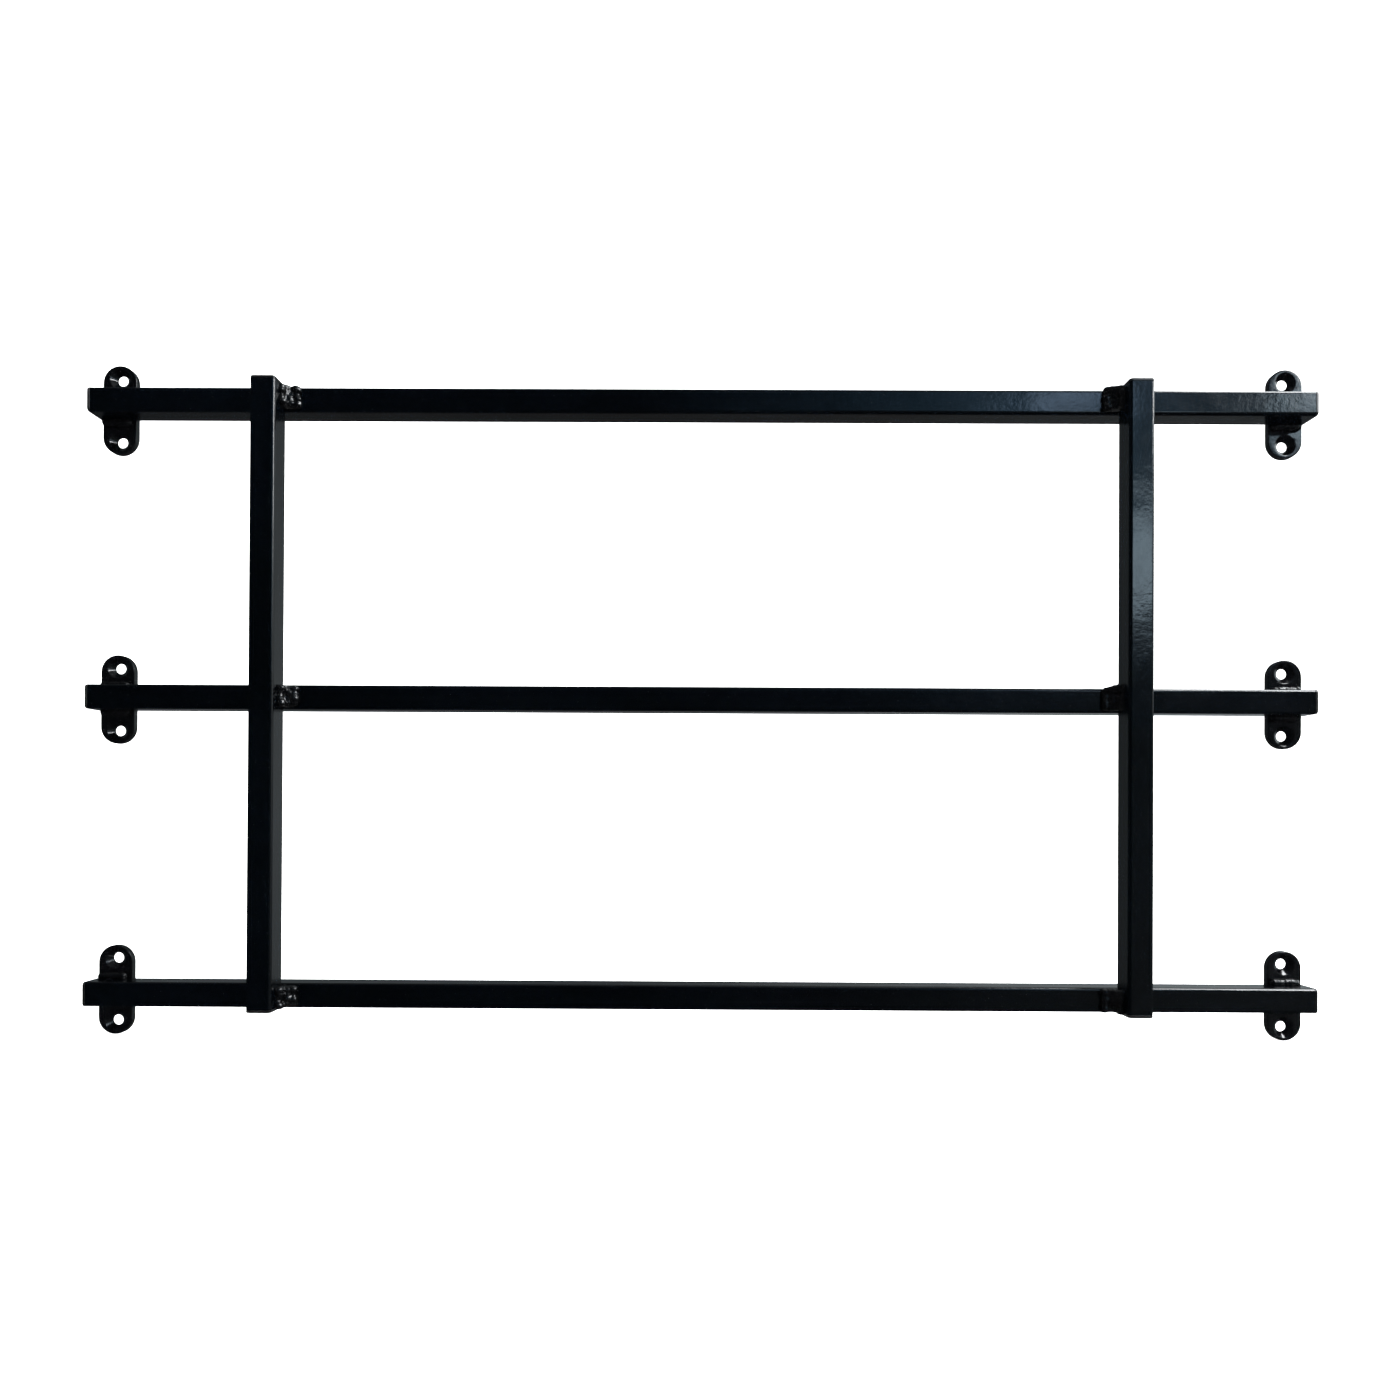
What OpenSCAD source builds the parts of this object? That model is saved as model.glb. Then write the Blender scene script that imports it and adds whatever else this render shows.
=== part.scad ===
// Welded window security grille: three level bars of square tube, two uprights welded
// across their front, and a countersunk fixing lug behind each end of each bar.
//
// Frame: X along the bars, Z up along the uprights, -Y towards the viewer.
// Origin: centre of the wall plane, which is the plane of the lugs' back faces.

/* [Grille] */
// Overall width, over the end caps of a bar
grille_w = 1000; // [600:10:1500]
// Distance between the centre lines of neighbouring bars
bar_pitch = 242; // [120:1:400]
// Distance between the centre lines of the two uprights
upright_span = 694; // [300:1:860]

/* [Square tube] */
// Outside width of the square tube
tube_w = 20; // [16:1:25]
// Wall thickness of the tube
wall = 2; // [1.5:0.5:2]
// Radius of the tube's outside corners
corner_r = 2.5; // [2.2:0.1:3.5]

/* [End caps] */
// Thickness of a cap's head, outside the tube
head_t = 2.5; // [2:0.5:4]
// Width of the chamfer round the head's outer edge
head_chamfer = 0.8; // [0.4:0.1:1.2]
// Length of a cap's plug, inside the tube
plug_l = 14; // [12:1:20]
// Number of gripping ribs round the plug
rib_count = 3; // [2:1:4]
// Thickness of a rib, along the plug
rib_t = 1.2; // [0.8:0.1:1.5]
// How far a rib stands out of the plug
rib_h = 0.8; // [0.4:0.1:1]
// Wall thickness of the hollow plug
plug_wall = 1.5; // [1:0.1:2]
// Gap between a rib and the tube's bore
rib_gap = 0.05; // [0.02:0.01:0.2]

/* [Fixing lugs] */
// Width of a lug, along the bar
lug_w = 28; // [24:1:40]
// Length of a lug, across the bar, with its round ends
lug_l = 74; // [70:1:90]
// Thickness of a lug
lug_t = 5; // [5:0.5:8]
// Distance from a bar's end to the lug's centre line
lug_inset = 14; // [14:1:30]
// Distance between the two holes of a lug
hole_pitch = 52; // [52:1:60]
// Diameter of a screw hole
hole_d = 8.5; // [6:0.5:10]
// Diameter of the countersink at the lug's front face
sink_d = 17; // [14:0.5:18]

/* [Welds] */
// Leg of an inner joint weld, along the bar
inner_leg_x = 13; // [8:1:15]
// Leg of an inner joint weld, along the upright's side
inner_leg_y = 14; // [8:1:16]
// Leg of an outer joint weld, along the bar and along the upright's side
outer_leg = 9; // [6:1:14]
// How far a joint weld's round back bulges past its straight hypotenuse
joint_bulge = 1.5; // [0.5:0.5:2]
// Leg of a lug weld, on the bar and on the lug
lug_leg = 5; // [3:0.5:6]
// How much shorter a weld is than the corner it fills, at each end
weld_stop = 0.5; // [0.5:0.5:2]

/* [Hidden] */
$fn = 48;
// Small step past a face, so that a cut comes out clean
eps = 0.1;
half_tube = tube_w / 2;
bore_w = tube_w - 2 * wall;
bore_r = corner_r - wall;
plug_w = bore_w - 2 * (rib_gap + rib_h);
bar_tube_l = grille_w - 2 * head_t;
upright_l = 2 * bar_pitch + tube_w;
upright_tube_l = upright_l - 2 * head_t;
bar_y = -lug_t - half_tube;
upright_y = bar_y - tube_w;
// The face of the bars that the uprights stand on
joint_y = bar_y - half_tube;
lug_x = grille_w / 2 - lug_inset;
sink_depth = (sink_d - hole_d) / 2;
// Share of each leg at which a joint weld's back stands joint_bulge past its hypotenuse
function bulge_at(legs) = (1 + joint_bulge * norm(legs) / (legs.x * legs.y)) / 2;
// Side of the grille along X, and row of the bar along Z
left = -1;
right = 1;
top = 1;
middle = 0;
bottom = -1;
// Side of an upright that a joint weld is on, and side of a bar that a lug weld is on
inner = -1;
outer = 1;
above = 1;
below = -1;

// Square with round corners, centred
module round_square(w, r) {
    square([w, w - 2 * r], center = true);
    square([w - 2 * r, w], center = true);
    for (x = [-1, 1], y = [-1, 1])
        translate([x, y] * (w / 2 - r)) circle(r = r);
}

// Square tube along Z, centred
module square_tube(length) {
    linear_extrude(length, center = true)
        difference() {
            round_square(tube_w, corner_r);
            round_square(bore_w, bore_r);
        }
}

// The space that a tube along Z fills, without its bore: what a weld is cut back by
module tube_outline(length) {
    linear_extrude(length, center = true) round_square(tube_w, corner_r);
}

// Turns what is built along Z, such as a tube, to lie along X
module along_x() {
    rotate([0, 90, 0]) children();
}

// Level bar: row is top, middle or bottom
module bar(row) {
    color("#101215")
        translate([0, bar_y, row * bar_pitch])
            along_x() square_tube(bar_tube_l);
}

// Upright: side is left or right
module upright(side) {
    color("#101215")
        translate([side * upright_span / 2, upright_y, 0]) square_tube(upright_tube_l);
}

// Fixing lug behind a bar's end, with its two holes countersunk from the front
module lug(side, row) {
    color("#14161a")
        translate([side * lug_x, 0, row * bar_pitch])
            rotate([90, 0, 0])
                difference() {
                    linear_extrude(lug_t) {
                        square([lug_w, lug_l - lug_w], center = true);
                        for (z = [-1, 1])
                            translate([0, z * (lug_l - lug_w) / 2]) circle(d = lug_w);
                    }
                    for (z = [-1, 1])
                        translate([0, z * hole_pitch / 2, 0]) screw_hole();
                }
}

// Screw hole through a lug, with its countersink at the far face
module screw_hole() {
    translate([0, 0, -eps]) cylinder(h = lug_t + 2 * eps, d = hole_d);
    translate([0, 0, lug_t - sink_depth])
        cylinder(h = sink_depth, d1 = hole_d, d2 = sink_d);
    translate([0, 0, lug_t]) cylinder(h = eps, d = sink_d);
}

// End cap: its head on z = 0 to head_t, its ribbed plug below
module end_cap() {
    hull() {
        linear_extrude(head_t - head_chamfer) round_square(tube_w, corner_r, $fn = 32);
        linear_extrude(head_t)
            round_square(tube_w - 2 * head_chamfer, corner_r - head_chamfer / 2, $fn = 32);
    }
    difference() {
        union() {
            translate([0, 0, -plug_l]) linear_extrude(plug_l) square(plug_w, center = true);
            for (i = [1:rib_count])
                translate([0, 0, -i * plug_l / (rib_count + 1) - rib_t / 2])
                    linear_extrude(rib_t) square(plug_w + 2 * rib_h, center = true);
        }
        translate([0, 0, -plug_l - eps])
            linear_extrude(plug_l + eps) square(plug_w - 2 * plug_wall, center = true);
    }
}

// End cap in a bar's end
module bar_cap(side, row) {
    color("#0b0c0e")
        translate([side * bar_tube_l / 2, bar_y, row * bar_pitch])
            rotate([0, side * 90, 0]) end_cap();
}

// End cap in an upright's end: row is top or bottom
module upright_cap(side, row) {
    color("#0b0c0e")
        translate([side * upright_span / 2, upright_y, row * upright_tube_l / 2])
            rotate([row == top ? 0 : 180, 0, 0]) end_cap();
}

// Weld that fills the corner between an upright's side and a bar's face.
// hand is the way that the weld faces along X, away from its upright.
module joint_weld(side, row, face) {
    hand = side * face;
    legs = face == inner ? [inner_leg_x, inner_leg_y] : [outer_leg, outer_leg];
    share = bulge_at(legs);
    color("#1a1c20")
        difference() {
            translate([side * upright_span / 2 + hand * half_tube, joint_y, row * bar_pitch])
                mirror([hand < 0 ? 1 : 0, 0, 0])
                    linear_extrude(tube_w - 2 * weld_stop, center = true)
                        polygon([
                            [-corner_r, corner_r], [legs.x, corner_r], [legs.x, 0],
                            [share * legs.x, -share * legs.y],
                            [0, -legs.y], [-corner_r, -legs.y]
                        ]);
            translate([side * upright_span / 2, upright_y, 0]) tube_outline(upright_l);
            translate([0, bar_y, row * bar_pitch]) along_x() tube_outline(grille_w);
        }
}

// Weld that fills the corner between a lug and the bar's top or underside
module lug_weld(side, row, face) {
    color("#1a1c20")
        difference() {
            translate([side * lug_x, -lug_t, row * bar_pitch])
                mirror([0, 0, face == below ? 1 : 0])
                    rotate([90, 0, 90])
                        linear_extrude(lug_w - 2 * weld_stop, center = true)
                            polygon([
                                [0, half_tube - corner_r], [0, half_tube + lug_leg],
                                [-lug_leg, half_tube], [-lug_leg, half_tube - corner_r]
                            ]);
            translate([0, bar_y, row * bar_pitch]) along_x() tube_outline(grille_w);
        }
}

bar(top);  // top_bar
bar(middle);  // middle_bar
bar(bottom);  // bottom_bar
upright(left);  // left_upright
upright(right);  // right_upright
lug(left, top);  // top_left_lug
lug(left, middle);  // middle_left_lug
lug(left, bottom);  // bottom_left_lug
lug(right, top);  // top_right_lug
lug(right, middle);  // middle_right_lug
lug(right, bottom);  // bottom_right_lug
bar_cap(left, top);  // top_left_bar_cap
bar_cap(left, middle);  // middle_left_bar_cap
bar_cap(left, bottom);  // bottom_left_bar_cap
bar_cap(right, top);  // top_right_bar_cap
bar_cap(right, middle);  // middle_right_bar_cap
bar_cap(right, bottom);  // bottom_right_bar_cap
upright_cap(left, top);  // left_upright_top_cap
upright_cap(left, bottom);  // left_upright_bottom_cap
upright_cap(right, top);  // right_upright_top_cap
upright_cap(right, bottom);  // right_upright_bottom_cap
joint_weld(left, top, inner);  // top_left_inner_weld
joint_weld(left, middle, inner);  // middle_left_inner_weld
joint_weld(left, bottom, inner);  // bottom_left_inner_weld
joint_weld(right, top, inner);  // top_right_inner_weld
joint_weld(right, middle, inner);  // middle_right_inner_weld
joint_weld(right, bottom, inner);  // bottom_right_inner_weld
joint_weld(left, top, outer);  // top_left_outer_weld
joint_weld(left, middle, outer);  // middle_left_outer_weld
joint_weld(left, bottom, outer);  // bottom_left_outer_weld
joint_weld(right, top, outer);  // top_right_outer_weld
joint_weld(right, middle, outer);  // middle_right_outer_weld
joint_weld(right, bottom, outer);  // bottom_right_outer_weld
lug_weld(left, top, above);  // top_left_lug_weld_above
lug_weld(left, middle, above);  // middle_left_lug_weld_above
lug_weld(left, bottom, above);  // bottom_left_lug_weld_above
lug_weld(right, top, above);  // top_right_lug_weld_above
lug_weld(right, middle, above);  // middle_right_lug_weld_above
lug_weld(right, bottom, above);  // bottom_right_lug_weld_above
lug_weld(left, top, below);  // top_left_lug_weld_below
lug_weld(left, middle, below);  // middle_left_lug_weld_below
lug_weld(left, bottom, below);  // bottom_left_lug_weld_below
lug_weld(right, top, below);  // top_right_lug_weld_below
lug_weld(right, middle, below);  // middle_right_lug_weld_below
lug_weld(right, bottom, below);  // bottom_right_lug_weld_below
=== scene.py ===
# %% [markdown]
# # A welded window security grille
# Three level bars of square tube, two uprights welded across their front, and a fixing lug behind
# each bar end, all under one coat of gloss black paint. This lesson takes the exact steel frame
# from the CAD model and gives it what CAD leaves out: rounded paint edges, hand-laid weld beads,
# moulded end caps and a believable finish.
#
# The frame comes first, because every later piece asks it where to go.

import bmesh
import bpy
import math
import random
from mathutils import Euler, Matrix, Vector, noise


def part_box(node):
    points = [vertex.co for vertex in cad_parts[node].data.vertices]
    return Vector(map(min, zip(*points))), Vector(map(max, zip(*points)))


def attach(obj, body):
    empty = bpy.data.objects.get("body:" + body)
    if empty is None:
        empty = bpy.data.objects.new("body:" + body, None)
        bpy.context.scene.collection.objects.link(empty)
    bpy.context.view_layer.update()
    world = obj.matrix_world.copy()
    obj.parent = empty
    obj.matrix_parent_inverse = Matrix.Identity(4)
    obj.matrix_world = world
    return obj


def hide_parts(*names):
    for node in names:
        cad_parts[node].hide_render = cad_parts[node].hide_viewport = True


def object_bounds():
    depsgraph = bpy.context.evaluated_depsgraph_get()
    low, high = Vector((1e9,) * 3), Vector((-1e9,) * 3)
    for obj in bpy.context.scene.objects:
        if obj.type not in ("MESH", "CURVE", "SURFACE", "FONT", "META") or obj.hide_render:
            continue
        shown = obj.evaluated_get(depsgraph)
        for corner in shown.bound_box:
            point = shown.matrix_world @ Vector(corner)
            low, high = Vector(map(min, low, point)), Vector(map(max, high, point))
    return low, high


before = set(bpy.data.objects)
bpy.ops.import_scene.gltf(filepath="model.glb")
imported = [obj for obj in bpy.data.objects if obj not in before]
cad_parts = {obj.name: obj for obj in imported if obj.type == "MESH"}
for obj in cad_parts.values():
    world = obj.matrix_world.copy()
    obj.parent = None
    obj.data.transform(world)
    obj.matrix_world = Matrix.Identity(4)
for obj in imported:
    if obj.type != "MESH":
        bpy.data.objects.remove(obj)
cad_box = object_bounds()
MM = 0.001
print("frame box in mm:", [[round(v / MM, 1) for v in corner] for corner in cad_box])

# %% [markdown]
# ## The camera
# The camera goes in before anything else, so that every later choice is judged through it. The
# grille is seen almost squarely from the front by a wide lens close up. That is why the lugs, which
# lie deeper than the bars, seem drawn in towards the middle. A small shift of the lens lowers the
# picture without tilting the camera, so the uprights stay parallel.

# %% Camera
camera = bpy.data.objects.new("camera", bpy.data.cameras.new("camera"))
camera.data.lens = 22.151
camera.data.sensor_width = 36.0
camera.data.shift_x = 0.0062
camera.data.shift_y = 0.0777
camera.data.clip_start = 0.05
camera.data.clip_end = 50.0
camera.location = (-0.0044, -0.7220, -0.0920)
camera.rotation_euler = Euler([math.radians(a) for a in (90.243, -0.287, 0.181)])
bpy.context.scene.collection.objects.link(camera)
bpy.context.scene.camera = camera
print("camera stands", round(cad_box[0].y - camera.location.y, 3), "m in front of the uprights")

# %% [markdown]
# ## A socket that does arithmetic
# Shader maths is easier to read as arithmetic than as a web of nodes. `Wire` wraps one socket of a
# node tree. An expression such as `gloss + 0.05 * mottle` adds the Math nodes that it stands for, and
# `node` makes every other kind of node from its type, its settings and its sockets' values.

# %% The Wire class
class Wire:
    """One output socket of a node tree, with arithmetic. An empty Wire only makes nodes."""

    def __init__(self, tree, socket=None):
        self.tree = tree
        self.socket = socket

    def node(self, kind, settings=None, sockets=None, out=0):
        made = self.tree.nodes.new(kind)
        for name, value in (settings or {}).items():
            setattr(made, name, value)
        for name, value in (sockets or {}).items():
            if isinstance(value, Wire):
                self.tree.links.new(value.socket, made.inputs[name])
            else:
                made.inputs[name].default_value = value
        return Wire(self.tree, made.outputs[out])

    def math(self, operation, *values):
        return self.node("ShaderNodeMath", {"operation": operation}, dict(enumerate(values)))

    def __add__(self, other):
        return self.math("ADD", self, other)

    def __mul__(self, other):
        return self.math("MULTIPLY", self, other)

    def __pow__(self, other):
        return self.math("POWER", self, other)

    __radd__ = __add__
    __rmul__ = __mul__

    def step(self, low, high):
        """0 below low, 1 above high, smooth between."""
        return self.node("ShaderNodeMapRange", {"interpolation_type": "SMOOTHSTEP"},
                         {"Value": self, "From Min": low, "From Max": high})

    def noise(self, scale, detail, seed):
        """Noise over the vector in this wire. scale is its features a metre."""
        return self.node("ShaderNodeTexNoise", {"noise_dimensions": "4D"},
                         {"Vector": self, "W": seed, "Scale": scale, "Detail": detail,
                          "Roughness": 0.5})

    def blend(self, dark, light):
        """A colour between two colours, or wires of colour, by the number in this wire."""
        return self.node("ShaderNodeMix", {"data_type": "RGBA"},
                         {"Factor": self, 6: dark, 7: light}, out=2)


def new_material(name):
    """An empty material with its output node, and a Wire to build it with."""
    material = bpy.data.materials.new(name)
    material.use_nodes = True
    material.node_tree.nodes.clear()
    output = material.node_tree.nodes.new("ShaderNodeOutputMaterial")
    return material, output, Wire(material.node_tree)


print("besides arithmetic, Wire has:", [name for name in vars(Wire) if not name.startswith("__")])

# %% [markdown]
# ## Studio
# The stage is a white sweep all round, a floor that curves up into a wall, so that no view shows
# an edge. It is made as a potter would: one profile spun about the upright axis. A black gloss
# object is seen almost only by what it mirrors, so the sweep is kept out of mirror rays, and a dim
# room stands behind it for them. Otherwise every side face would turn white.

# %% Floor and sweep
FLOOR_RADIUS = 2.6
BEND_RADIUS = 1.2
WALL_HEIGHT = 7.0
BEND_STEPS = 12
ROUND_STEPS = 72


def spin_sweep(floor_z, flat, bend, height):
    """A round floor that curves up into a wall: flat and bend are radii, in metres."""
    bm = bmesh.new()
    profile = [Vector((0, 0, floor_z)), Vector((flat, 0, floor_z))]
    for i in range(1, BEND_STEPS + 1):
        turn = math.radians(90) * i / BEND_STEPS
        profile.append(Vector((flat + bend * math.sin(turn), 0,
                               floor_z + bend * (1 - math.cos(turn)))))
    profile.append(Vector((flat + bend, 0, floor_z + height)))
    verts = [bm.verts.new(p) for p in profile]
    edges = [bm.edges.new(pair) for pair in zip(verts, verts[1:])]
    bmesh.ops.spin(bm, geom=verts + edges, cent=(0, 0, 0), axis=(0, 0, 1),
                   angle=math.radians(360), steps=ROUND_STEPS, use_merge=True)
    bmesh.ops.remove_doubles(bm, verts=bm.verts, dist=1e-6)
    bmesh.ops.recalc_face_normals(bm, faces=bm.faces)
    for face in bm.faces:
        face.smooth = True
    return bm


def stage_object(name, bm, material):
    mesh = bpy.data.meshes.new(name)
    bm.to_mesh(mesh)
    bm.free()
    mesh.materials.append(material)
    made = bpy.data.objects.new(name, mesh)
    bpy.context.scene.collection.objects.link(made)
    return made


sweep_white, output, wire = new_material("sweep_white")
shader = wire.node("ShaderNodeBsdfPrincipled", sockets={
    "Base Color": (0.85, 0.85, 0.85, 1), "Roughness": 0.9, "Specular IOR Level": 0.1,
    "Emission Color": (1, 1, 1, 1), "Emission Strength": 0.80})
sweep_white.node_tree.links.new(shader.socket, output.inputs["Surface"])
floor_z = cad_box[0].z
sweep = stage_object("sweep", spin_sweep(floor_z, FLOOR_RADIUS, BEND_RADIUS, WALL_HEIGHT), sweep_white)
sweep.visible_glossy = False
sweep.visible_shadow = False
print("floor at", round(floor_z, 3), "m, with", len(sweep.data.polygons), "faces in the sweep")

# %% [markdown]
# ### What the paint mirrors
# The room is a handful of soft glows: paler walls behind and to the right, a light ceiling, a faint
# warm floor and a dim blue front. It could be a photographed panorama, but glows are easier to move
# until each lands on the right piece. A glow is the cosine between the way a ray leaves and the
# glow's own direction, raised to a power. A higher power makes a smaller glow.

# %% Mirrored room
world = bpy.data.worlds.new("dim_room")
world.use_nodes = True
world.node_tree.nodes.clear()
bpy.context.scene.world = world
wire = Wire(world.node_tree)
way = wire.node("ShaderNodeTexCoord", out=0)


def glow(direction, power, radiance):
    """A soft patch of light in one direction of the room."""
    toward = Vector(direction).normalized()
    cosine = way.node("ShaderNodeVectorMath", {"operation": "DOT_PRODUCT"},
                      {0: way, 1: toward}, out=1)
    return radiance * cosine.math("MAXIMUM", cosine, 0.0) ** power


behind_right = glow((0.46, 0.885, 0.05), 14, 0.40)
behind_left = glow((-0.50, 0.84, 0.12), 9, 0.11)
high_right = glow((0.85, 0.35, 0.40), 14, 0.8)
low_front = glow((0.55, -0.80, -0.25), 14, 0.10)
near_right = glow((0.94, -0.15, 0.28), 14, 1.1)
walls = behind_right + behind_left + high_right + low_front + near_right
overhead = glow((-0.2, 0.30, 0.95), 4, 0.12) + glow((0.50, 0.15, 0.84), 8, 1.1)
warm_floor = glow((0.0, 0.75, -0.66), 5, 0.075)
warm_left = glow((-0.95, -0.30, 0.10), 16, 0.018)
blue_front = glow((0.34, -0.85, 0.41), 60, 0.7)
DARKEST_FRONT = 0.015


def lit(colour, strength):
    """A background of one colour whose strength is a wire."""
    return wire.node("ShaderNodeBackground", sockets={"Color": (*colour, 1), "Strength": strength})


cool_room = lit((0.88, 0.97, 1.0), walls + overhead)
warm_room = lit((1.0, 0.92, 0.82), warm_floor + warm_left)
blue_room = lit((0.32, 0.67, 1.0), DARKEST_FRONT + blue_front)
cool_and_warm = wire.node("ShaderNodeAddShader", sockets={0: cool_room, 1: warm_room})
whole_room = wire.node("ShaderNodeAddShader", sockets={0: cool_and_warm, 1: blue_room})
world_out = world.node_tree.nodes.new("ShaderNodeOutputWorld")
world.node_tree.links.new(whole_room.socket, world_out.inputs["Surface"])
print("mirrored room has", len(world.node_tree.nodes), "nodes")

# %% [markdown]
# ### Softboxes
# A flat face of gloss paint shows a softbox as a patch of the lamp's own shape. So three small bluish
# windows each stand where one stretch mirrors them: the low one for the right upright, the high one
# for the top bar beside it, and the side one for that bar's end. The white ones stand where no front
# face mirrors them. They catch the curved metal: rounded edges, weld beads and the cones round the
# screw holes. The big ceiling light only brightens the stage, so mirror rays pass it by.

# %% Softboxes
def softbox(name, place, target, size, radiance, colour):
    """A rectangular lamp at place that faces target. size is its width and height in metres.

    radiance is how bright it looks, the same from every side, so its power grows with its area.
    """
    lamp = bpy.data.lights.new(name, "AREA")
    lamp.shape = "RECTANGLE"
    lamp.size, lamp.size_y = size
    lamp.energy = radiance * math.pi * size[0] * size[1]
    lamp.color = colour
    made = bpy.data.objects.new(name, lamp)
    made.location = place
    facing = (Vector(target) - Vector(place)).to_track_quat("-Z", "Y")
    made.rotation_euler = facing.to_euler()
    bpy.context.scene.collection.objects.link(made)
    return made


SKY = (0.52, 0.72, 1.0)
PALE_SKY = (0.66, 0.86, 1.0)
WHITE = (0.96, 0.98, 1.0)
WARM_WHITE = (1.0, 0.99, 0.97)
softbox("window_low", (1.01, -1.335, 0.49), (0.35, 0, 0.1), (0.28, 0.22), 4.8, PALE_SKY)
softbox("window_high", (0.84, -1.28, 0.86), (0.3, 0, 0.24), (0.17, 0.15), 3.4, SKY)
softbox("window_side", (1.37, -1.16, 0.81), (0.5, 0, 0.24), (0.20, 0.16), 5.0, PALE_SKY)
softbox("right_window", (1.50, -0.80, 0.85), (0, 0, 0.1), (0.32, 0.32), 20.0, WHITE)
softbox("far_window", (2.53, -2.10, 1.80), (-0.486, 0, 0.24), (0.48, 0.46), 26.0, WHITE)
softbox("right_ceiling", (1.45, -0.38, 1.50), (0.3, 0, 0), (0.70, 0.90), 18.0, WHITE)
ceiling = softbox("ceiling_light", (0.2, -0.6, 1.9), (0, 0, 0), (1.6, 1.2), 2.0, WARM_WHITE)
ceiling.visible_glossy = False
bpy.context.scene.view_settings.view_transform = "Standard"

# %% [markdown]
# ## Gloss black paint
# Sprayed or brushed gloss enamel is black with a clear mirror skin. What tells it from plastic is
# its orange peel: low bumps a few millimetres apart that break up every reflection, with slower
# waves from the steel below. A few specks of dust lie on top. An image could carry all this, but
# noise in object coordinates has a scale in real millimetres, the same on every piece.

# %% Paint materials
SMEARS_A_METRE = 9.0
WAVES_A_METRE = 28.0
MOTTLES_A_METRE = 60.0
PEEL_A_METRE = 300.0
FINE_PEEL_A_METRE = 900.0
SPECKS_A_METRE = 1500.0
DUST_GREY = (0.06, 0.06, 0.055)
THIN_FILM = 1.8


def gloss_black(name, colour, peel, gloss, seed):
    """Gloss enamel. peel is the height of its orange peel in metres; gloss its roughness.

    Where the film is smeared thin, its colour is THIN_FILM times as light.
    """
    material, output, wire = new_material(name)
    place = wire.node("ShaderNodeTexCoord", out=3)
    smear = place.noise(SMEARS_A_METRE, 3.0, seed).step(0.35, 0.7)
    mottle = place.noise(MOTTLES_A_METRE, 3.0, seed + 1).step(0.3, 0.75)
    orange = place.noise(PEEL_A_METRE, 2.0, seed + 2)
    fine = place.noise(FINE_PEEL_A_METRE, 2.0, seed + 3)
    dust = place.noise(SPECKS_A_METRE, 1.0, seed + 4).step(0.74, 0.82)
    wave = place.noise(WAVES_A_METRE, 1.0, seed + 5)
    film = smear.blend((*colour, 1), (*[c * THIN_FILM for c in colour], 1))
    dusty = (dust * 0.4).blend(film, (*DUST_GREY, 1))
    rough = gloss + 0.05 * mottle + 0.25 * dust
    peeled = wire.node("ShaderNodeBump", sockets={
        "Height": orange + 0.3 * fine, "Distance": peel, "Strength": 1.0})
    waved = wire.node("ShaderNodeBump", sockets={
        "Height": wave, "Distance": peel * 5, "Strength": 1.0, "Normal": peeled})
    paint = wire.node("ShaderNodeBsdfPrincipled", sockets={
        "Base Color": dusty, "Roughness": rough, "IOR": 1.5, "Normal": waved})
    material.node_tree.links.new(paint.socket, output.inputs["Surface"])
    return material


tube_paint = gloss_black("gloss_black_tube", (0.0002, 0.0004, 0.0007), 0.00011, 0.12, 0.0)
lug_paint = gloss_black("gloss_black_lug", (0.0008, 0.0008, 0.0010), 0.00008, 0.12, 20.0)
weld_paint = gloss_black("gloss_black_weld", (0.0008, 0.0008, 0.0009), 0.00004, 0.18, 40.0)
cap_plastic = gloss_black("satin_black_cap", (0.0025, 0.0025, 0.0025), 0.00002, 0.30, 60.0)

# %% [markdown]
# ## Lofting a rounded square
# Tube and end cap are both square with rounded corners, so one helper makes both. It draws a
# square, bevels its corner points into arcs, and repeats that at each height of a profile. Bridging
# neighbouring rings then skins the shape, as a boat builder planks between frames.

# %% Helpers for pieces
CORNER_SEGMENTS = 8
CRISP = 35


def square_ring(bm, width, radius, z):
    """A closed ring of edges round a rounded square at height z. Returns its edges."""
    upright_square = Matrix.Translation((0, 0, z)) @ Matrix.Rotation(math.radians(45), 4, "Z")
    made = bmesh.ops.create_circle(bm, cap_ends=True, segments=4, radius=width / math.sqrt(2),
                                   matrix=upright_square)
    bevelled = bmesh.ops.bevel(bm, geom=made["verts"], offset=radius, segments=CORNER_SEGMENTS,
                               profile=0.5, affect="VERTICES", material=-1)
    face = bevelled["verts"][0].link_faces[0]
    edges = list(face.edges)
    bmesh.ops.delete(bm, geom=[face], context="FACES_ONLY")
    return edges


def loft(bm, rings, closed=False):
    """Skins a list of (width, radius, z). closed joins the last ring to the first."""
    loops = [square_ring(bm, *ring) for ring in rings]
    pairs = list(zip(loops, loops[1:]))
    if closed:
        pairs.append((loops[-1], loops[0]))
    for one, other in pairs:
        bmesh.ops.bridge_loops(bm, edges=one + other)
    if not closed:
        for loop in (loops[0], loops[-1]):
            bmesh.ops.contextual_create(bm, geom=loop)


def piece(name, bm, node, material, crisp=CRISP):
    """Makes the object, hides the CAD node that it stands for, and fixes it to the body.

    Edges that turn by more than crisp degrees stay crisp. None leaves the whole skin smooth.
    """
    bmesh.ops.remove_doubles(bm, verts=bm.verts, dist=1e-7)
    bmesh.ops.recalc_face_normals(bm, faces=bm.faces)
    for face in bm.faces:
        face.smooth = True
    mesh = bpy.data.meshes.new(name)
    bm.to_mesh(mesh)
    bm.free()
    mesh.materials.append(material)
    made = bpy.data.objects.new(name, mesh)
    bpy.context.scene.collection.objects.link(made)
    if crisp is not None:
        mesh.set_sharp_from_angle(angle=math.radians(crisp))
        weigh = made.modifiers.new("weigh_normals", "WEIGHTED_NORMAL")
        weigh.keep_sharp = True
    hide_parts(node)
    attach(made, "root")
    return made


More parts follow.
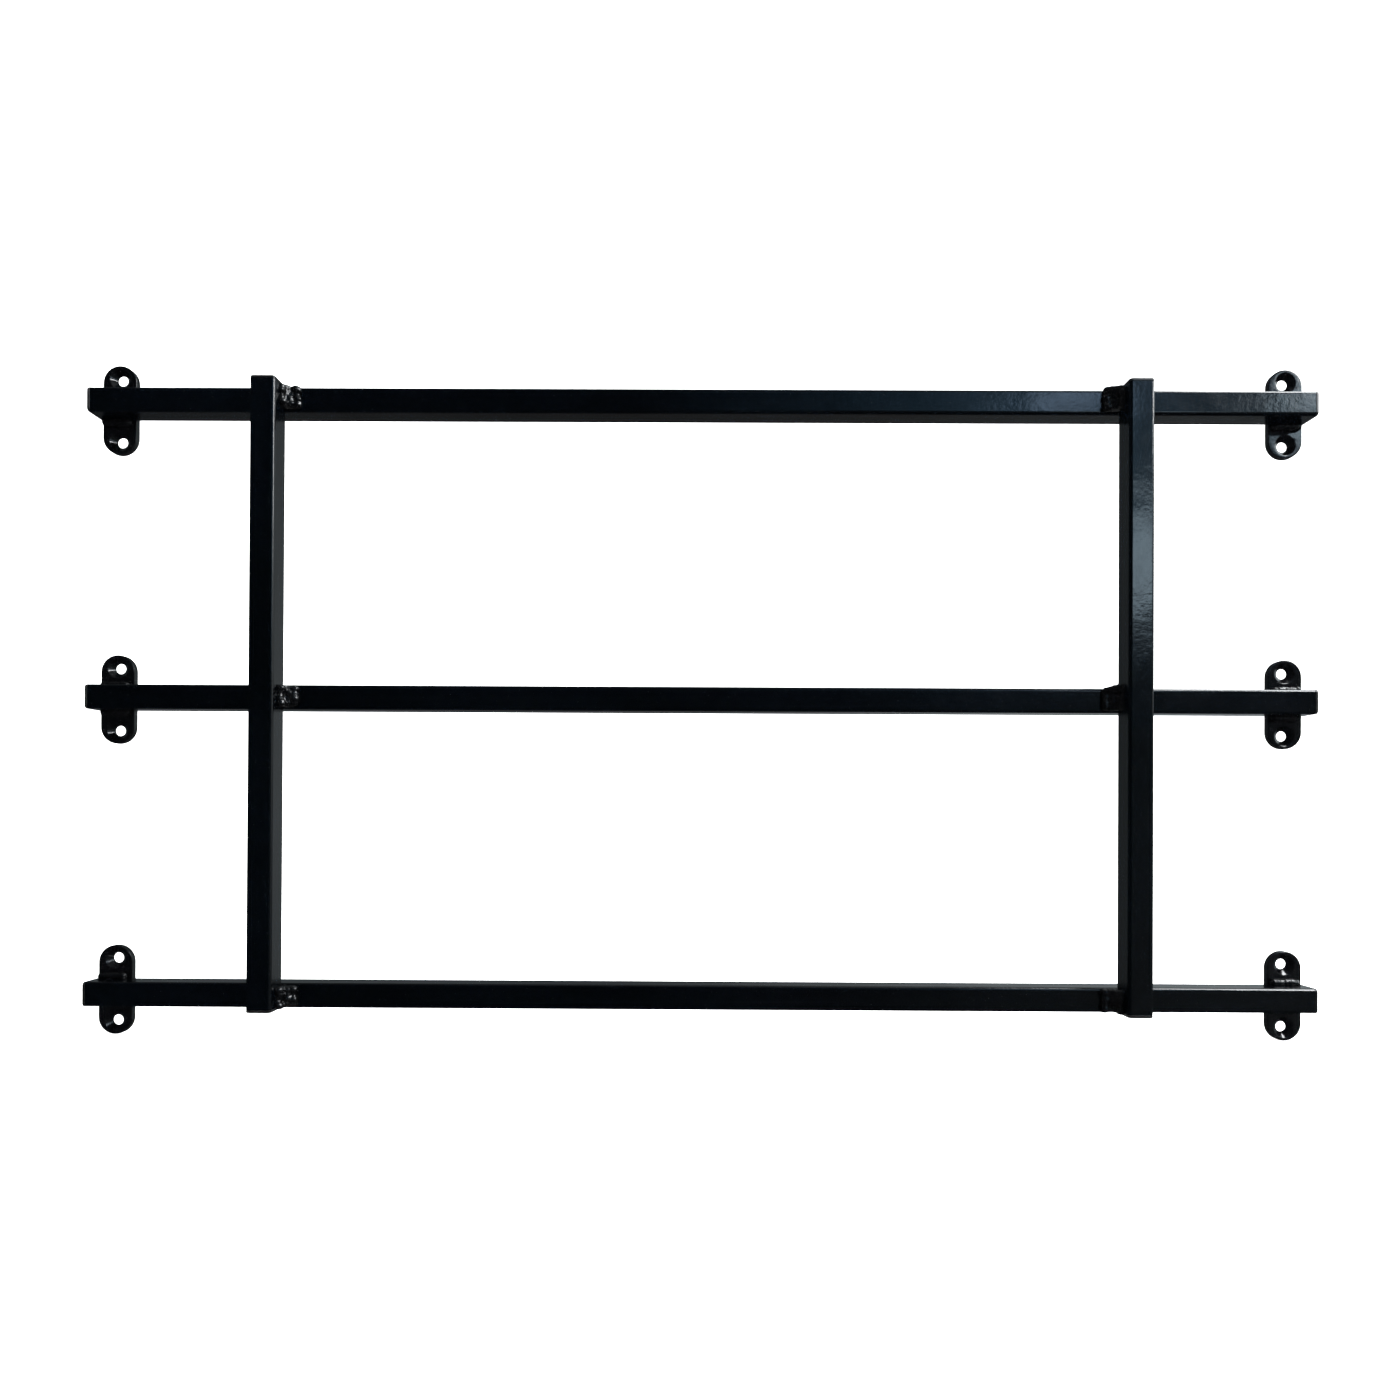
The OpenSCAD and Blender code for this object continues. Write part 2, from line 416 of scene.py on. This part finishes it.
def node_frame(node):
    """Centre and size of a CAD node's box."""
    low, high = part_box(node)
    return (low + high) / 2, high - low


print("rounded squares use", CORNER_SEGMENTS, "segments a corner")

# %% [markdown]
# ## Bars and uprights
# Square tube is drawn through rollers, so its corners are rounded, not sharp. Those few
# millimetres matter: they carry the thin line of light along every edge of the grille. Each tube is
# a closed loft: along the outside, over the sawn end and back down the bore. The sawn ends have
# their burr filed off, which leaves a fine dark seam where the end cap sits.

# %% Square tubes
TUBE_WIDTH = min(node_frame("top_bar")[1])
TUBE_RADIUS = 2.5 * MM
TUBE_WALL = 2.0 * MM
BORE_WIDTH = TUBE_WIDTH - 2 * TUBE_WALL
BURR = 0.25 * MM


def square_tube(name, node, axis):
    """A tube along X or Z, with its length and place from the CAD node's box."""
    centre, size = node_frame(node)
    half = size["XYZ".index(axis)] / 2
    bm = bmesh.new()
    outside = [(TUBE_WIDTH - 2 * BURR, TUBE_RADIUS, -half), (TUBE_WIDTH, TUBE_RADIUS, BURR - half),
               (TUBE_WIDTH, TUBE_RADIUS, half - BURR), (TUBE_WIDTH - 2 * BURR, TUBE_RADIUS, half)]
    bore = [(BORE_WIDTH, TUBE_RADIUS - TUBE_WALL, half), (BORE_WIDTH, TUBE_RADIUS - TUBE_WALL, -half)]
    loft(bm, outside + bore, closed=True)
    if axis == "X":
        bmesh.ops.rotate(bm, verts=bm.verts, matrix=Matrix.Rotation(math.radians(90), 3, "Y"))
    bmesh.ops.translate(bm, verts=bm.verts, vec=centre)
    return piece(name, bm, node, tube_paint)


ROWS = ("top", "middle", "bottom")
SIDES = ("left", "right")
for row in ROWS:
    square_tube(f"{row}_bar_tube", f"{row}_bar", "X")
for side in SIDES:
    square_tube(f"{side}_upright_tube", f"{side}_upright", "Z")
print("five tubes,", round(TUBE_WIDTH / MM, 1), "mm square")

# %% [markdown]
# ## End caps
# Each tube end is closed by a pushed-in plastic cap. Its head is as wide as the tube, with a soft
# edge and a face that is slightly crowned, as moulded parts are. Behind the head a hollow square
# plug with ribs grips the bore. One loft makes all of it, from the floor of the plug's hollow
# round to the middle of the head.

# %% End caps
HEAD = 2.5 * MM
PLUG_LENGTH = 14 * MM
PLUG_WALL = 1.5 * MM
RIB_HEIGHT = 0.8 * MM
RIB_HALF = 0.6 * MM
RIBS = 3
SLIP = 0.05 * MM
PLUG_WIDTH = BORE_WIDTH - 2 * (RIB_HEIGHT + SLIP)
PLUG_CORNER = 0.3 * MM
HOLLOW_FLOOR = -0.2 * MM
CROWN_SHARE = 0.55
# The head's side as pairs of inset and height above its seat, in mm.
HEAD_SIDE = ((0.30, 0.0), (0.0, 0.25), (0.0, 1.55), (0.12, 1.9), (0.40, 2.2), (0.9, 2.38))


def end_cap(name, node, outward):
    """A cap whose head points along outward, a unit vector. The CAD node's box places it."""
    low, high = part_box(node)
    centre = (low + high) / 2
    reach = max(abs(outward.dot(high - centre)), abs(outward.dot(low - centre)))
    seat = centre + outward * (reach - HEAD)
    hollow = PLUG_WIDTH - 2 * PLUG_WALL
    rib = PLUG_WIDTH + 2 * RIB_HEIGHT
    rings = [(hollow, PLUG_CORNER, HOLLOW_FLOOR), (hollow, PLUG_CORNER, -PLUG_LENGTH),
             (PLUG_WIDTH, PLUG_CORNER, -PLUG_LENGTH)]
    for i in range(RIBS, 0, -1):
        middle = -i * PLUG_LENGTH / (RIBS + 1)
        rings += [(PLUG_WIDTH, PLUG_CORNER, middle - RIB_HALF),
                  (rib, PLUG_CORNER, middle - RIB_HALF / 2),
                  (rib, PLUG_CORNER, middle + RIB_HALF / 2),
                  (PLUG_WIDTH, PLUG_CORNER, middle + RIB_HALF)]
    rings.append((PLUG_WIDTH, PLUG_CORNER, 0.0))
    for inset, rise in HEAD_SIDE:
        rings.append((TUBE_WIDTH - 2 * inset * MM, TUBE_RADIUS - inset * MM / 2, rise * MM))
    rings.append((TUBE_WIDTH * CROWN_SHARE, TUBE_RADIUS, HEAD))
    bm = bmesh.new()
    loft(bm, rings)
    turn = Vector((0, 0, 1)).rotation_difference(outward).to_matrix()
    bmesh.ops.rotate(bm, verts=bm.verts, matrix=turn)
    bmesh.ops.translate(bm, verts=bm.verts, vec=seat)
    return piece(name, bm, node, cap_plastic)


for side, way in zip(SIDES, (-1, 1)):
    for row in ROWS:
        end_cap(f"{row}_{side}_bar_plug_cap", f"{row}_{side}_bar_cap", Vector((way, 0, 0)))
    for end, up in (("top", 1), ("bottom", -1)):
        end_cap(f"{side}_upright_{end}_plug_cap", f"{side}_upright_{end}_cap", Vector((0, 0, up)))
print("ten caps, head", round(HEAD / MM, 1), "mm thick")

# %% [markdown]
# ## Fixing lugs
# A lug is a length of flat bar with its ends cropped round and two screw holes countersunk from
# the front. It could be cut from a block with booleans, but those leave long thin faces that shade
# badly. Instead every edge of the plate is drawn as a ring: rings round the rim, rings down each
# hole. A ring with round ends is two half turns, each spun from one vertex, and two straight edges.

# %% Rings of a lug
LUG_WIDTH = 28 * MM
LUG_LENGTH = 74 * MM
LUG_THICK = node_frame("top_left_lug")[1].y
HOLE_FROM_CENTRE = 26 * MM
HOLE_RADIUS = 4.25 * MM
SINK_RADIUS = 8.5 * MM
ROUND_END_STEPS = 28
HOLE_SEGMENTS = 48


def stadium_ring(bm, radius, y):
    """A ring of edges round a plate with round ends, at depth y."""
    rise = (LUG_LENGTH - LUG_WIDTH) / 2
    made = []
    for up in (1, -1):
        start = bm.verts.new((radius * up, y, rise * up))
        made += bmesh.ops.spin(bm, geom=[start], cent=(0, y, rise * up), axis=(0, -1, 0),
                               angle=math.radians(180), steps=ROUND_END_STEPS)["geom_last"]
        made.append(start)
    last_top, start_top, last_low, start_low = made
    bm.edges.new((last_top, start_low))
    bm.edges.new((last_low, start_top))
    return connected_edges(start_top)


def connected_edges(vert):
    """Every edge that can be reached from a vertex."""
    found = set()
    todo = [vert]
    while todo:
        for edge in todo.pop().link_edges:
            if edge not in found:
                found.add(edge)
                todo += edge.verts
    return list(found)


def hole_ring(bm, radius, y, z):
    """A ring of edges round a screw hole at height z, at depth y."""
    made = bmesh.ops.create_circle(bm, segments=HOLE_SEGMENTS, radius=radius, cap_ends=False,
                                   matrix=Matrix.Translation((0, y, z))
                                   @ Matrix.Rotation(math.radians(90), 4, "X"))
    return list({edge for vert in made["verts"] for edge in vert.link_edges})


def bridge_all(bm, loops):
    """Skins each pair of neighbouring rings."""
    for one, other in zip(loops, loops[1:]):
        bmesh.ops.bridge_loops(bm, edges=one + other)


def soft_corner(radius, steps=3):
    """Pairs of inset and depth along a quarter round of this radius."""
    turns = [math.radians(90) * i / steps for i in range(steps + 1)]
    return [(radius * (1 - math.sin(t)), radius * (1 - math.cos(t))) for t in turns]


print("a lug ring has", 2 * ROUND_END_STEPS + 2, "edges, a hole ring", HOLE_SEGMENTS)

# %% [markdown]
# ### Skinning the plate
# Bridging joins the rings of the rim and of each hole, and one fill closes the flat front and one the
# flat back. A Bevel modifier could soften the edges of a plain plate, but drawn rings keep every
# radius as the real one has it: the rims get a small radius, which is what catches the light on
# painted plate, and each 90 degree cone a softer lip and foot, where paint gathers.

# %% Lugs
RIM = 0.7 * MM
BACK_RIM = 0.3 * MM
SINK_DEPTH = SINK_RADIUS - HOLE_RADIUS
# The cone's lip and foot as pairs of widening and depth, in mm, from its sharp edges.
SINK_LIP = ((0.35, 0.0), (0.1, 0.08), (-0.15, 0.28))
SINK_FOOT = ((0.2, -0.15), (0.0, 0.1))
LUG_CRISP = 50


def lug(name, node):
    """A plate with round ends and two countersunk holes, where its CAD node is."""
    centre = node_frame(node)[0]
    front = -LUG_THICK
    bm = bmesh.new()
    rims = [stadium_ring(bm, LUG_WIDTH / 2 - inset, front + depth)
            for inset, depth in soft_corner(RIM)]
    rims += [stadium_ring(bm, LUG_WIDTH / 2, -BACK_RIM),
             stadium_ring(bm, LUG_WIDTH / 2 - BACK_RIM, 0.0)]
    fronts = list(rims[0])
    backs = list(rims[-1])
    hole_loops = []
    for z in (HOLE_FROM_CENTRE, -HOLE_FROM_CENTRE):
        loops = [hole_ring(bm, SINK_RADIUS + wider * MM, front + depth * MM, z)
                 for wider, depth in SINK_LIP]
        loops += [hole_ring(bm, HOLE_RADIUS + wider * MM, front + SINK_DEPTH + depth * MM, z)
                  for wider, depth in SINK_FOOT]
        loops.append(hole_ring(bm, HOLE_RADIUS, 0.0, z))
        fronts += loops[0]
        backs += loops[-1]
        hole_loops.append(loops)
    bmesh.ops.triangle_fill(bm, edges=fronts, use_dissolve=False, use_beauty=True)
    bmesh.ops.triangle_fill(bm, edges=backs, use_dissolve=False, use_beauty=True)
    bridge_all(bm, rims)
    for loops in hole_loops:
        bridge_all(bm, loops)
    bmesh.ops.translate(bm, verts=bm.verts, vec=(centre.x, 0, centre.z))
    return piece(name, bm, node, lug_paint, crisp=LUG_CRISP)


for side in SIDES:
    for row in ROWS:
        lug(f"{row}_{side}_lug_plate", f"{row}_{side}_lug")
print("six lugs,", round(LUG_THICK / MM, 1), "mm thick")

# %% [markdown]
# ## Hand-laid welds
# The uprights are welded to the bars by hand, in short fat passes that were never ground back. Up
# close such a weld is a heap of frozen drops: each drop overlaps the last and leaves a valley. So it
# is built the same way. Flattened spheres are dropped along every pass, a core fills the corner
# below them, and a voxel remesh melts all of it into one skin. A few rounds of smoothing stand for
# surface tension and for the paint that pools in the valleys.

# %% Melting drops into one skin
VOXEL = 0.55 * MM
MELT_ROUNDS = 2
MELT_STRENGTH = 0.5


def add_drop(bm, place, size, turn):
    """One drop: a sphere stretched to size along three axes, then turned."""
    stretch = Matrix.Diagonal((*size, 1))
    bmesh.ops.create_icosphere(bm, subdivisions=3, radius=1.0,
                               matrix=Matrix.Translation(place) @ turn.to_4x4() @ stretch)


def melt(bm):
    """Joins overlapping closed shells into one smooth skin. Returns a new bmesh."""
    mesh = bpy.data.meshes.new("drops")
    bm.to_mesh(mesh)
    bm.free()
    rough = bpy.data.objects.new("drops", mesh)
    bpy.context.scene.collection.objects.link(rough)
    remesh = rough.modifiers.new("melt", "REMESH")
    remesh.mode = "VOXEL"
    remesh.voxel_size = VOXEL
    bpy.context.view_layer.update()
    graph = bpy.context.evaluated_depsgraph_get()
    skin = bmesh.new()
    skin.from_mesh(rough.evaluated_get(graph).to_mesh())
    bpy.data.objects.remove(rough)
    bpy.data.meshes.remove(mesh)
    for _ in range(MELT_ROUNDS):
        bmesh.ops.smooth_vert(skin, verts=skin.verts, factor=MELT_STRENGTH, use_axis_x=True,
                              use_axis_y=True, use_axis_z=True)
    return skin


def roughen(skin, low, high, grain, depth, seed):
    """Small random swells over a weld, which is then held between two corners."""
    for vert in skin.verts:
        vert.co += vert.normal * noise.noise(vert.co / grain + Vector((seed, 0, 0))) * depth
        for axis in range(3):
            vert.co[axis] = max(low[axis], min(high[axis], vert.co[axis]))


print("weld skin is", round(VOXEL / MM, 2), "mm a face")

# %% [markdown]
# ### Heaps where a weld began
# The right upright's inner welds were begun above their bars, so each has a low heap there, against
# the upright. It could be pulled up out of a finished bead by its vertices, but that stretches the
# skin. A row of fatter drops, laid before the melt, gives it the same frozen look as the rest.

# %% Heaps
# How far each heap's crest stands above the bar, at the upright and at its far end.
HEAPS = {"top": (0.0, 2.2 * MM), "middle": (4.0 * MM, 1.2 * MM), "bottom": (1.0 * MM, 0.3 * MM)}
NO_HEAP = (0.0, 0.0)
HEAP_DROPS = 5
HEAP_RADIUS = 4.4
HEAP_TAPER = 1.4
HEAP_SPREAD = (0.92, 1.08)
HEAP_FLATNESS = 0.9
# The first drop's place in shares of the weld's width and depth, and how much further the last lies.
HEAP_FROM = (0.08, -0.66)
HEAP_SPAN = (0.70, 0.50)


def add_heap(bm, root, size, hand, heap, slope, rng):
    """A row of fat drops from the upright out over the bar, with their crests along heap."""
    for i in range(HEAP_DROPS):
        share = i / (HEAP_DROPS - 1)
        drop = (HEAP_RADIUS - HEAP_TAPER * share) * rng.uniform(*HEAP_SPREAD) * MM
        crest = size.z / 2 + heap[0] + (heap[1] - heap[0]) * share
        place = Vector((hand * (HEAP_FROM[0] + HEAP_SPAN[0] * share) * size.x,
                        (HEAP_SPAN[1] * share + HEAP_FROM[1]) * size.y, crest - drop))
        add_drop(bm, root + place, (drop, drop * HEAP_FLATNESS, drop), slope)


print("heaps rise to, in mm:", {row: round(max(heap) / MM, 1) for row, heap in HEAPS.items()})

# %% [markdown]
# ### Joint welds
# A joint weld fills the corner between an upright's side and the face of a bar. The inner ones are
# fat: one pass climbs the upright's side, one lies on the bar, and a shallow one joins them in the
# valley between. The outer ones are smaller and hide behind the upright. The core is the CAD weld
# itself, drawn in so that the drops stand proud of it. Every joint has its own seed, so no two welds
# are alike, as on any hand-welded frame.

# %% Joint welds
# Each pass: its place as shares of the weld's width and depth, its drops, their radius in mm.
INNER_PASSES = ((0.20, 0.70, 5, 3.1), (0.50, 0.34, 4, 2.7), (0.78, 0.17, 4, 3.6))
OUTER_PASSES = ((0.25, 0.55, 5, 2.3), (0.62, 0.22, 4, 2.5))
CORE_SHARES = (0.72, 0.72, 0.90)
END_ROOM = 2.0 * MM
SWAY = 0.05
JITTER = 0.7
DROP_SPREAD = (0.82, 1.18)
DROP_SHAPE = (1.10, 0.92, 0.88)
DROP_TILT = 0.4
JOINT_GRAIN = 2.0 * MM
JOINT_SWELL = 0.24 * MM
JOINT_SEED = 100


def joint_weld(name, node, hand, passes, seed, heap):
    """A bead in place of its CAD node. hand is the way along X that it faces from its upright."""
    rng = random.Random(seed)
    low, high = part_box(node)
    root = Vector((low.x if hand > 0 else high.x, high.y, (low.z + high.z) / 2))
    size = high - low
    end = size.z / 2 - END_ROOM
    bm = bmesh.new()
    bm.from_mesh(bpy.data.objects[node].data)
    bmesh.ops.remove_doubles(bm, verts=bm.verts, dist=1e-6)
    bmesh.ops.translate(bm, verts=bm.verts, vec=-root)
    bmesh.ops.scale(bm, verts=bm.verts, vec=CORE_SHARES)
    bmesh.ops.translate(bm, verts=bm.verts, vec=root)
    slope = Matrix.Rotation(math.radians(45) * hand, 3, "Z")
    for along, out, drops, radius in passes:
        sway = rng.uniform(-SWAY, SWAY)
        for i in range(drops):
            z = end * (2 * (i + 0.5) / drops - 1) + rng.uniform(-JITTER, JITTER) * MM
            drop = radius * rng.uniform(*DROP_SPREAD) * MM
            x = (along + sway) * size.x + rng.uniform(-JITTER, JITTER) * MM
            y = (out - sway) * size.y + rng.uniform(-JITTER, JITTER) * MM
            tilt = Matrix.Rotation(rng.uniform(-DROP_TILT, DROP_TILT), 3, "Y")
            add_drop(bm, root + Vector((hand * x, -y, z)), [drop * part for part in DROP_SHAPE],
                     slope @ tilt)
    if heap != NO_HEAP:
        add_heap(bm, root, size, hand, heap, slope, rng)
    skin = melt(bm)
    roughen(skin, low, high + Vector((0, 0, max(heap))), JOINT_GRAIN, JOINT_SWELL, seed)
    return piece(name, skin, node, weld_paint, crisp=None)


count = 0
for side, way in zip(SIDES, (-1, 1)):
    for row in ROWS:
        for face, turn, passes in (("inner", -1, INNER_PASSES), ("outer", 1, OUTER_PASSES)):
            count += 1
            heap = HEAPS[row] if (side, face) == ("right", "inner") else NO_HEAP
            made = joint_weld(f"{row}_{side}_{face}_weld_bead", f"{row}_{side}_{face}_weld",
                              way * turn, passes, JOINT_SEED + count, heap)
print(count, "joint welds, the last with", len(made.data.polygons), "faces")

# %% [markdown]
# ### Lug welds
# A smaller bead runs along the bar above and below each lug. It was laid in one pass, so it is
# neater: a row of drops about 3 mm apart, each lying slightly over the one before. The skin is
# melted and roughened as the joint welds are.

# %% Lug welds
FIRST_DROP = 3.6 * MM
LAST_DROP = 3.2 * MM
STEP_SPREAD = (2.7, 3.5)
BEAD_SPREAD = (0.92, 1.08)
BEAD_SHARE = 0.74
BEAD_SQUEEZE = 0.78
BEAD_LEAN = (-0.25, -0.05)
BEAD_OUT = 0.30
BEAD_UP = 0.24
BEAD_JITTER = 0.2
CORE_OUT = 0.28
CORE_HALF = 0.5
CORE_SHORTER = 7 * MM
LUG_GRAIN = 1.8 * MM
LUG_SWELL = 0.22 * MM
LUG_SEED = 300


def lug_weld(name, node, up, seed):
    """A bead in place of its CAD node. up is 1 above the bar and -1 below it."""
    rng = random.Random(seed)
    low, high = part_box(node)
    leg = high.y - low.y
    tube_side = low.z if up > 0 else high.z
    bar_face = (high.z if up > 0 else low.z) - up * leg
    bm = bmesh.new()
    x = low.x + FIRST_DROP
    while x < high.x - LAST_DROP:
        size = rng.uniform(*BEAD_SPREAD) * leg * BEAD_SHARE
        rise = BEAD_UP * leg + rng.uniform(-BEAD_JITTER, BEAD_JITTER) * MM
        place = Vector((x, high.y - BEAD_OUT * leg, bar_face + up * rise))
        lean = Matrix.Rotation(rng.uniform(*BEAD_LEAN), 3, "Z")
        add_drop(bm, place, (size * BEAD_SQUEEZE, size, size), lean)
        x += rng.uniform(*STEP_SPREAD) * MM
    core_edge = bar_face + up * CORE_HALF * leg
    core_centre = ((low.x + high.x) / 2, high.y - CORE_OUT * leg, (tube_side + core_edge) / 2)
    core_size = (high.x - low.x - CORE_SHORTER, CORE_HALF * leg, abs(core_edge - tube_side), 1)
    bmesh.ops.create_cube(bm, size=1.0, matrix=Matrix.Translation(core_centre)
                          @ Matrix.Diagonal(core_size))
    skin = melt(bm)
    roughen(skin, low, high, LUG_GRAIN, LUG_SWELL, seed)
    return piece(name, skin, node, weld_paint, crisp=None)


count = 0
for side in SIDES:
    for row in ROWS:
        for face, up in (("above", 1), ("below", -1)):
            count += 1
            made = lug_weld(f"{row}_{side}_lug_bead_{face}", f"{row}_{side}_lug_weld_{face}", up,
                            LUG_SEED + count)
print(count, "lug welds, the last with", len(made.data.polygons), "faces")

# %% [markdown] ## Measuring up A finer skin must not change the size of the thing. The CAD frame's
# box was kept at the start and printed in millimetres.
